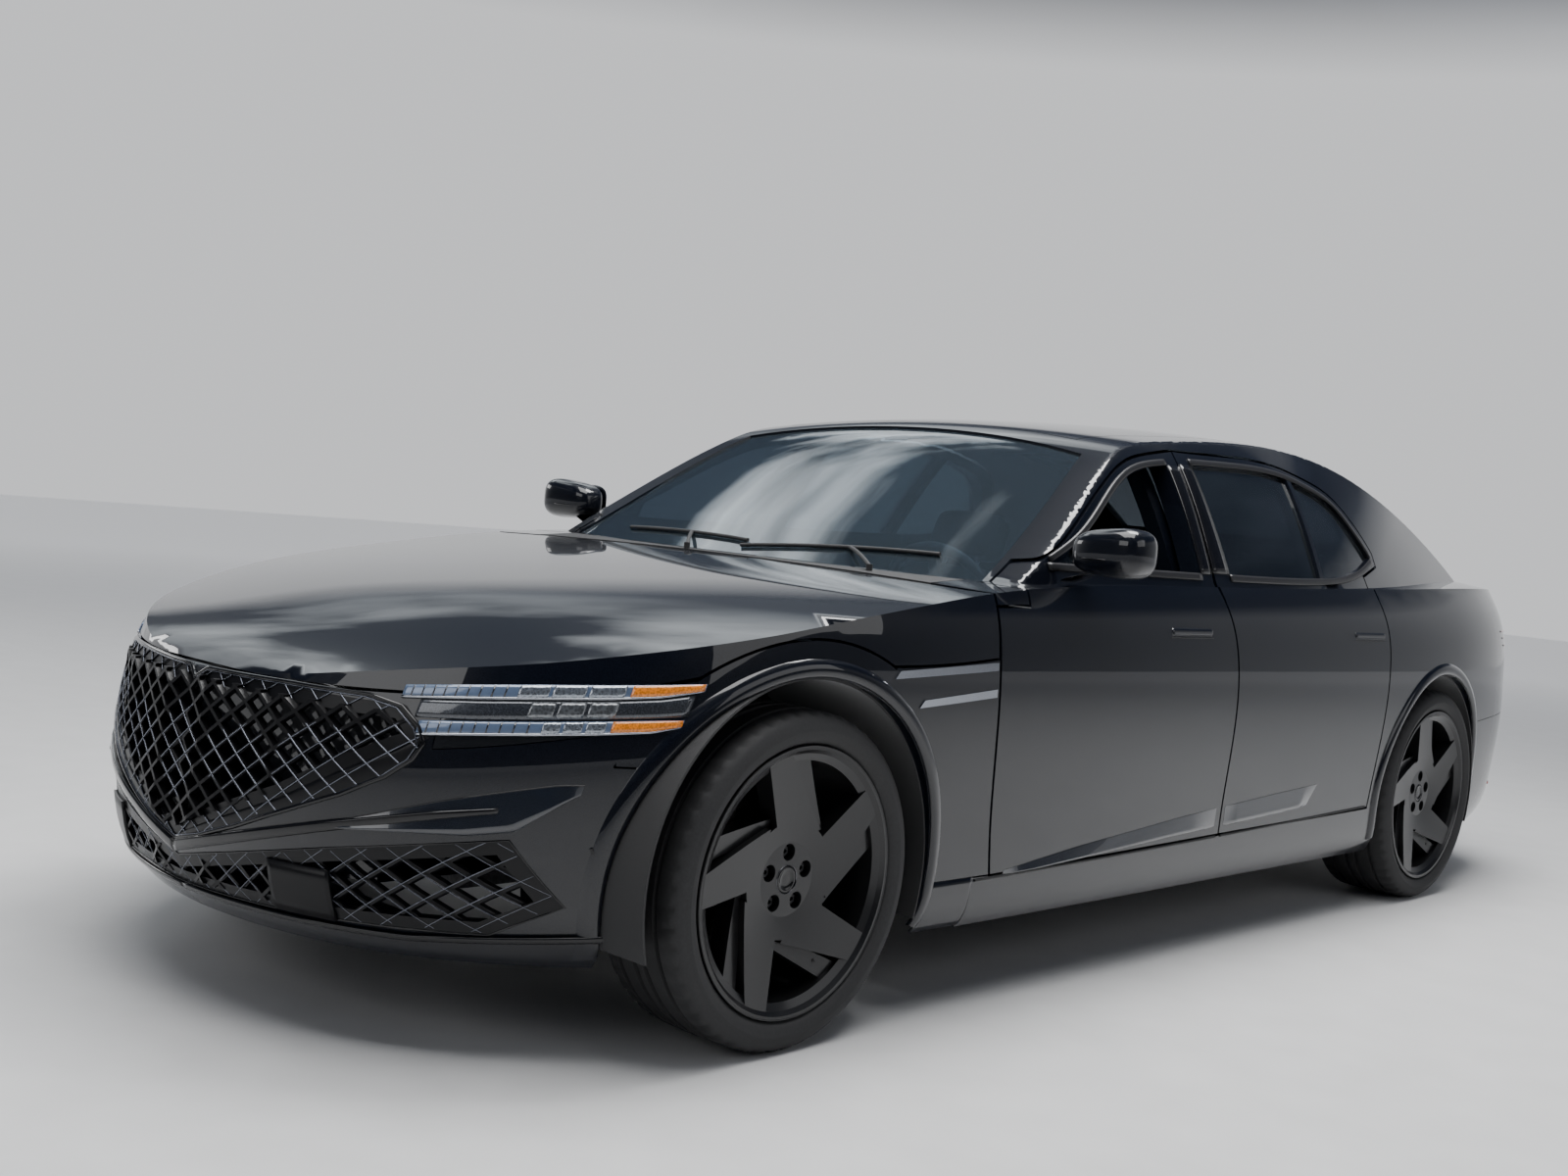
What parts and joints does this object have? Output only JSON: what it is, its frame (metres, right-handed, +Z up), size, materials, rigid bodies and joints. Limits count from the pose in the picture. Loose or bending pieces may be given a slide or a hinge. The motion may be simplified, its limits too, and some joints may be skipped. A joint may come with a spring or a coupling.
{
  "type": "sedan car",
  "caption": "Full-size sedan car: shell, hung doors, hood and boot lid, steered front wheels and free-turning wheels on stub axles, with cabin and seats inside.",
  "frame": {"origin": "on the ground at the middle of the car's length and width", "axes": "+X to the car's left side, +Y towards its tail, +Z up; the nose points along -Y"},
  "size_m": [2.211, 5.2855, 1.4886],
  "materials": {
    "paint": "gloss black with a little blue",
    "glass": "lightly tinted",
    "black_gloss": "gloss black",
    "black_matte": "fine grain",
    "lamp": "clear over bright inner parts",
    "tail_lamp": "dark red",
    "bright_trim": "satin bright",
    "wheel_paint": "satin black",
    "tyre": "matte black",
    "iron": "dark coated",
    "steel": "brushed",
    "leather": "smooth dark"
  },
  "bodies": {
    "body": {"body_shell": "paint", "roof_panel": "paint", "fenders": "paint", "front_bumper": "paint", "rear_bumper": "paint", "grille": "black_gloss", "lower_grille": "black_gloss", "headlamps": "lamp", "tail_lamps": "tail_lamp", "windshield": "glass", "rear_window": "glass", "cowl_and_wipers": "black_matte", "engine_block": "iron", "front_axle_frame": "iron", "rear_axle_frame": "iron", "exhaust": "steel", "wheel_liners": "black_matte", "dashboard": "black_matte", "steering_wheel": "leather", "front_seats": "leather", "rear_seat": "leather", "fender_strips": "bright_trim"},
    "hood": {"hood": "paint"},
    "boot_lid": {"boot_lid": "paint"},
    "door_front_left": {"door_front_left": "paint", "quarter_light_front_left": "glass", "mirror_left": "paint"},
    "door_front_right": {"door_front_right": "paint", "glass_front_right": "glass", "mirror_right": "paint"},
    "door_rear_left": {"door_rear_left": "paint", "glass_rear_left": "glass"},
    "door_rear_right": {"door_rear_right": "paint", "glass_rear_right": "glass"},
    "knuckle_left": {"knuckle_left": "iron"},
    "knuckle_right": {"knuckle_right": "iron"},
    "wheel_front_left": {"rim_front_left": "wheel_paint", "tyre_front_left": "tyre"},
    "wheel_front_right": {"rim_front_right": "wheel_paint", "tyre_front_right": "tyre"},
    "wheel_rear_left": {"rim_rear_left": "wheel_paint", "tyre_rear_left": "tyre"},
    "wheel_rear_right": {"rim_rear_right": "wheel_paint", "tyre_rear_right": "tyre"}
  },
  "joints": [
    {"name": "hood_hinge", "type": "hinge", "parent": "body", "child": "hood", "pos_m": [0, -1.177, 0.964], "axis": [-1, 0, 0], "range_deg": [0, 50]},
    {"name": "boot_hinge", "type": "hinge", "parent": "body", "child": "boot_lid", "pos_m": [0, 2.143, 1.104], "axis": [1, 0, 0], "range_deg": [0, 75]},
    {"name": "door_front_left_hinge", "type": "hinge", "parent": "body", "child": "door_front_left", "pos_m": [0.933, -1.02891, 0.7], "axis": [0, 0, -1], "range_deg": [0, 65]},
    {"name": "door_rear_left_hinge", "type": "hinge", "parent": "body", "child": "door_rear_left", "pos_m": [0.933, 0.09467, 0.7], "axis": [0, 0, -1], "range_deg": [0, 65]},
    {"name": "door_front_right_hinge", "type": "hinge", "parent": "body", "child": "door_front_right", "pos_m": [-0.933, -1.02891, 0.7], "axis": [0, 0, 1], "range_deg": [0, 65]},
    {"name": "door_rear_right_hinge", "type": "hinge", "parent": "body", "child": "door_rear_right", "pos_m": [-0.933, 0.09467, 0.7], "axis": [0, 0, 1], "range_deg": [0, 65]},
    {"name": "steer_left", "type": "hinge", "parent": "body", "child": "knuckle_left", "pos_m": [0.745, -1.7525, 0.357], "axis": [0, 0, 1], "range_deg": [-32, 32]},
    {"name": "steer_right", "type": "hinge", "parent": "body", "child": "knuckle_right", "pos_m": [-0.745, -1.7525, 0.357], "axis": [0, 0, 1], "range_deg": [-32, 32]},
    {"name": "wheel_front_left_spin", "type": "hinge", "parent": "knuckle_left", "child": "wheel_front_left", "pos_m": [0.8215, -1.7525, 0.357], "axis": [1, 0, 0], "continuous": true},
    {"name": "wheel_front_right_spin", "type": "hinge", "parent": "knuckle_right", "child": "wheel_front_right", "pos_m": [-0.8215, -1.7525, 0.357], "axis": [1, 0, 0], "continuous": true},
    {"name": "wheel_rear_left_spin", "type": "hinge", "parent": "body", "child": "wheel_rear_left", "pos_m": [0.82, 1.4275, 0.357], "axis": [1, 0, 0], "continuous": true},
    {"name": "wheel_rear_right_spin", "type": "hinge", "parent": "body", "child": "wheel_rear_right", "pos_m": [-0.82, 1.4275, 0.357], "axis": [1, 0, 0], "continuous": true}
  ],
  "couplings": [
    {"joint": "steer_right", "follows": "steer_left", "ratio": 1}
  ]
}
